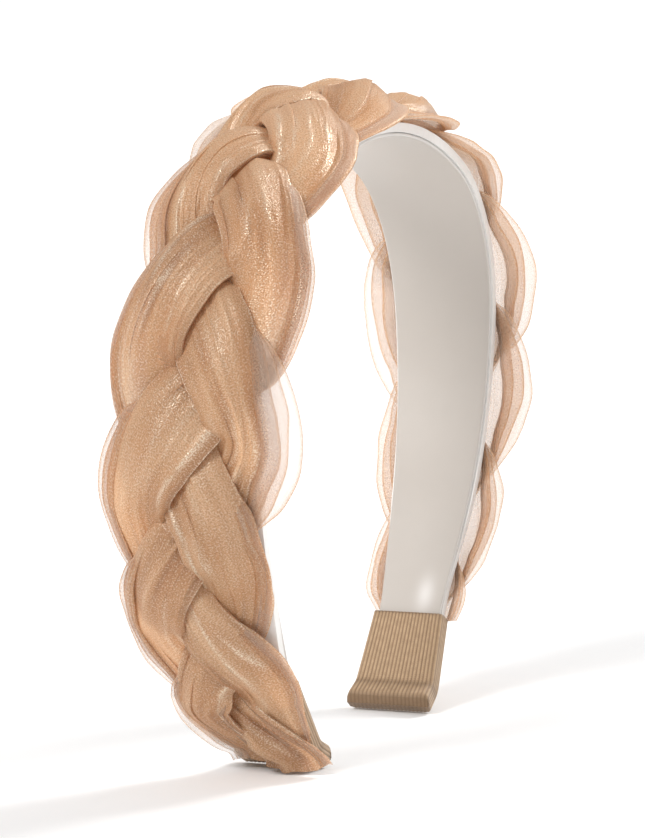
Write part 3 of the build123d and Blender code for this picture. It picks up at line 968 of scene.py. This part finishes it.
# Painted highlight: cream on the crest lines, in flecks; the same share also makes those threads glossy.
spark = maths(tree, "MULTIPLY", crest, mapped(tree, flecks, 0.44, 0.60, 0.15, 1.0))
colour = mixed(tree, spark, colour, cream)

crossed = maths(tree, "ADD", maths(tree, "MULTIPLY", tight, 0.5), 0.1)
relief = maths(tree, "ADD", crinkle, maths(tree, "MULTIPLY", cross, crossed))
relief = maths(tree, "ADD", maths(tree, "MULTIPLY", flecks, 0.45), relief)
relief = bump(tree, relief, 0.6, 0.0005)
cloth = node(tree, "ShaderNodeBsdfPrincipled", in_Base_Color=colour, in_Normal=relief,
             in_Roughness=0.42, in_Specular_IOR_Level=0.45)
through = node(tree, "ShaderNodeBsdfTranslucent", in_Color=colour)
glint = node(tree, "ShaderNodeBsdfGlossy", in_Normal=relief, in_Roughness=0.3,
             in_Color=(1.0, 0.86, 0.66, 1.0))
# Light is thrown back and let through, some threads glitter, and the rest is seen through.
glitter = maths(tree, "ADD", mapped(tree, flecks, 0.52, 0.72, 0.02, 0.12),
                    maths(tree, "MULTIPLY", spark, 0.35), clamp=True)
lit = blended(tree, 0.48, cloth.outputs[0], through.outputs[0])
lit = blended(tree, glitter, lit, glint.outputs[0])
see = node(tree, "ShaderNodeBsdfTransparent")
fill(tree, out, blended(tree, solid, see.outputs[0], lit))
print("organza:", len(tree.nodes), "nodes")

# %% [markdown]
# Satin has long threads on its face, so it shines in soft streaks across them. A fine wave
# on the cloth's map gives the threads, and a slow noise keeps the grey from looking painted.

# %% Satin
satin, tree, out = material("satin")
cloth_map = node(tree, "ShaderNodeUVMap", uv_map="cloth").outputs[0]
weave = node(tree, "ShaderNodeTexWave", wave_type="BANDS", bands_direction="X", in_Vector=cloth_map,
             in_Scale=420.0, in_Distortion=0.6)
grey = mixed(tree, noise_on(tree, cloth_map, 4.0, 4.0), (0.50, 0.455, 0.41, 1.0), (0.55, 0.505, 0.46, 1.0))
# Painted highlight: the sheen value lightens the grey along the turned edge and above the wraps.
grey = mixed(tree, attribute(tree, "sheen"), grey, (0.80, 0.77, 0.74, 1.0))
shine = node(tree, "ShaderNodeBsdfPrincipled", in_Base_Color=grey, in_Roughness=0.36, in_Sheen_Weight=0.2,
             in_Anisotropic=0.4, in_Specular_IOR_Level=0.5,
             in_Normal=bump(tree, weave.outputs["Fac"], 0.25, 0.00005))
fill(tree, out, shine.outputs[0])
print("satin:", len(tree.nodes), "nodes")

# %% [markdown]
# Grosgrain is a ribbon with ribs. They are real shape here; the material paints shade into the
# grooves by the rib's own value and at the fold, the tip and the cut edge, adds fine threads
# across the ribs and wears the tan unevenly.

# %% Grosgrain
grosgrain, tree, out = material("grosgrain")
cloth_map = node(tree, "ShaderNodeUVMap", uv_map="cloth").outputs[0]
threads = node(tree, "ShaderNodeTexWave", wave_type="BANDS", bands_direction="Y", in_Vector=cloth_map,
               in_Scale=60.0, in_Distortion=1.0)
uneven = mapped(tree, noise_on(tree, cloth_map, 70.0, 2.0), 0.35, 0.7, 0.0, 0.45)
# Painted shade: the grooves between the ribs are painted dark brown, the ribs tan.
ribbed = mixed(tree, attribute(tree, "rib"), (0.17, 0.10, 0.05, 1.0), (0.50, 0.335, 0.195, 1.0))
ribbed = mixed(tree, uneven, ribbed, (0.27, 0.165, 0.085, 1.0))
# Painted shade at the fold above the tip, at the tip and under the cut edge.
ribbed = mixed(tree, attribute(tree, "shaded"), ribbed, (0.13, 0.07, 0.03, 1.0))
ribbon = node(tree, "ShaderNodeBsdfPrincipled", in_Base_Color=ribbed, in_Roughness=0.6,
              in_Sheen_Weight=0.25, in_Normal=bump(tree, threads.outputs["Fac"], 0.4, 0.00008))
fill(tree, out, ribbon.outputs[0])
print("grosgrain:", len(tree.nodes), "nodes")

# %% [markdown]
# The band itself shows only as a pale edge beside the satin: moulded plastic with a light
# grain. It keeps the CAD model's own mesh, so the grain is laid on object coordinates.

# %% Band core
core, tree, out = material("band_core")
grain = noise_on(tree, node(tree, "ShaderNodeTexCoord").outputs["Object"], 900.0, 3.0)
white = mixed(tree, grain, (0.80, 0.78, 0.75, 1.0), (0.88, 0.87, 0.85, 1.0))
plastic = node(tree, "ShaderNodeBsdfPrincipled", in_Base_Color=white, in_Roughness=0.55,
               in_Normal=bump(tree, grain, 0.2, 0.0001))
fill(tree, out, plastic.outputs[0])
print("band core:", len(tree.nodes), "nodes")

# %% [markdown]
# ## Pieces on the frame
#
# Each surface takes the place of a CAD piece and rides on the frame's one body.

# %% Pieces on the frame
FINISHES = {"organza": organza, "satin": satin, "grosgrain": grosgrain}


def placed(piece, name, slot):
    """Gives a surface its finish and its place on the frame."""
    piece.data.materials.append(FINISHES[slot])
    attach(piece, "root")
    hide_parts(name)


for piece, name, flat in strips:
    placed(piece, name, "organza")
placed(lining, "satin_lining", "satin")
for (piece, flat), name in zip(wraps, ("tip_wrap_left", "tip_wrap_right")):
    placed(piece, name, "grosgrain")
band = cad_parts["band"]
band.data.materials.clear()
band.data.materials.append(core)
print("pieces:", len(strips) + 1 + len(wraps))

# %% [markdown]
# ## Floor and light
#
# A product photograph on white: a bright room, one soft light from the upper left of the
# camera, and one from the right and behind that shines through the cloth. The lights are
# suns with a wide disc, so the floor is lit evenly out to the horizon. The room looks
# brighter to the camera than it lights the headband, which keeps the background white.

# %% Floor and light
floor_mesh = bpy.data.meshes.new("floor")
floor_mesh.from_pydata([(-6, -6, 0), (6, -6, 0), (6, 6, 0), (-6, 6, 0)], [], [(0, 1, 2, 3)])
floor = bpy.data.objects.new("floor", floor_mesh)
bpy.context.scene.collection.objects.link(floor)
pale, tree, out = material("pale_floor")
speckle = noise_on(tree, node(tree, "ShaderNodeTexCoord").outputs["Object"], 60.0, 3.0)
white = mixed(tree, speckle, (0.93, 0.93, 0.93, 1.0), (0.95, 0.95, 0.95, 1.0))
matte = node(tree, "ShaderNodeBsdfPrincipled", in_Base_Color=white, in_Roughness=0.9,
             in_Specular_IOR_Level=0.2)
fill(tree, out, matte.outputs[0])
floor_mesh.materials.append(pale)

ROOM_LIGHT, ROOM_SEEN = 0.58, 1.05
world = bpy.data.worlds.new("studio")
bpy.context.scene.world = world
world.use_nodes = True
tree = world.node_tree
seen = node(tree, "ShaderNodeLightPath").outputs["Is Camera Ray"]
strength = maths(tree, "ADD", maths(tree, "MULTIPLY", seen, ROOM_SEEN - ROOM_LIGHT), ROOM_LIGHT)
fill(tree, tree.nodes["Background"].inputs["Color"], (1.0, 1.0, 1.0, 1.0))
fill(tree, tree.nodes["Background"].inputs["Strength"], strength)


def sun(name, towards, disc, strength):
    """A sun with a wide disc, shining from the direction of a point."""
    light = bpy.data.lights.new(name, "SUN")
    light.angle = math.radians(disc)
    light.energy = strength
    lamp = bpy.data.objects.new(name, light)
    lamp.location = Vector(towards)
    lamp.rotation_mode = "QUATERNION"
    lamp.rotation_quaternion = (-Vector(towards)).to_track_quat("-Z", "Y")
    bpy.context.scene.collection.objects.link(lamp)


sun("key", (-1.0, 0.35, 0.9), 20.0, 1.9)
sun("rim", (0.9, -0.5, 0.8), 20.0, 2.2)
bpy.context.scene.view_settings.view_transform = "Standard"
print("light: key, rim and a white room")

# %% [markdown]
# ## Camera
#
# The photograph looks along the band from the left and a little from the front, from just
# above. The angles, the distance and the small shift were fitted to the edges of the
# satin and the tips.

# %% Camera
AZIMUTH, ELEVATION, ROLL = -67.68, 7.07, -0.86
DISTANCE, FOCAL = 0.8608, 4021.97
SHIFT_X, SHIFT_Y = 12.36, -1.5
SENSOR, PHOTO_HEIGHT = 36.0, 838
LOOK_AT = Vector((0.0, 0.0, (CROWN_Z - 60.0) * MM))
az, el, ro = (math.radians(v) for v in (AZIMUTH, ELEVATION, ROLL))
back = Vector((math.sin(az) * math.cos(el), -math.cos(az) * math.cos(el), math.sin(el)))
right = (-back).cross(Vector((0, 0, 1))).normalized()
up = right.cross(-back)
right_r = math.cos(ro) * right + math.sin(ro) * up
up_r = -math.sin(ro) * right + math.cos(ro) * up
camera_data = bpy.data.cameras.new("camera")
camera_data.sensor_width = SENSOR
camera_data.lens = FOCAL * SENSOR / PHOTO_HEIGHT
camera_data.shift_x = -SHIFT_X / PHOTO_HEIGHT
camera_data.shift_y = SHIFT_Y / PHOTO_HEIGHT
camera_data.clip_start, camera_data.clip_end = 0.01, 50.0
camera = bpy.data.objects.new("camera", camera_data)
camera.matrix_world = Matrix((right_r, up_r, back)).transposed().to_4x4()
camera.location = LOOK_AT + back * DISTANCE
bpy.context.scene.collection.objects.link(camera)
bpy.context.scene.camera = camera
print(f"camera: {camera_data.lens:.0f} mm lens at {DISTANCE} m")
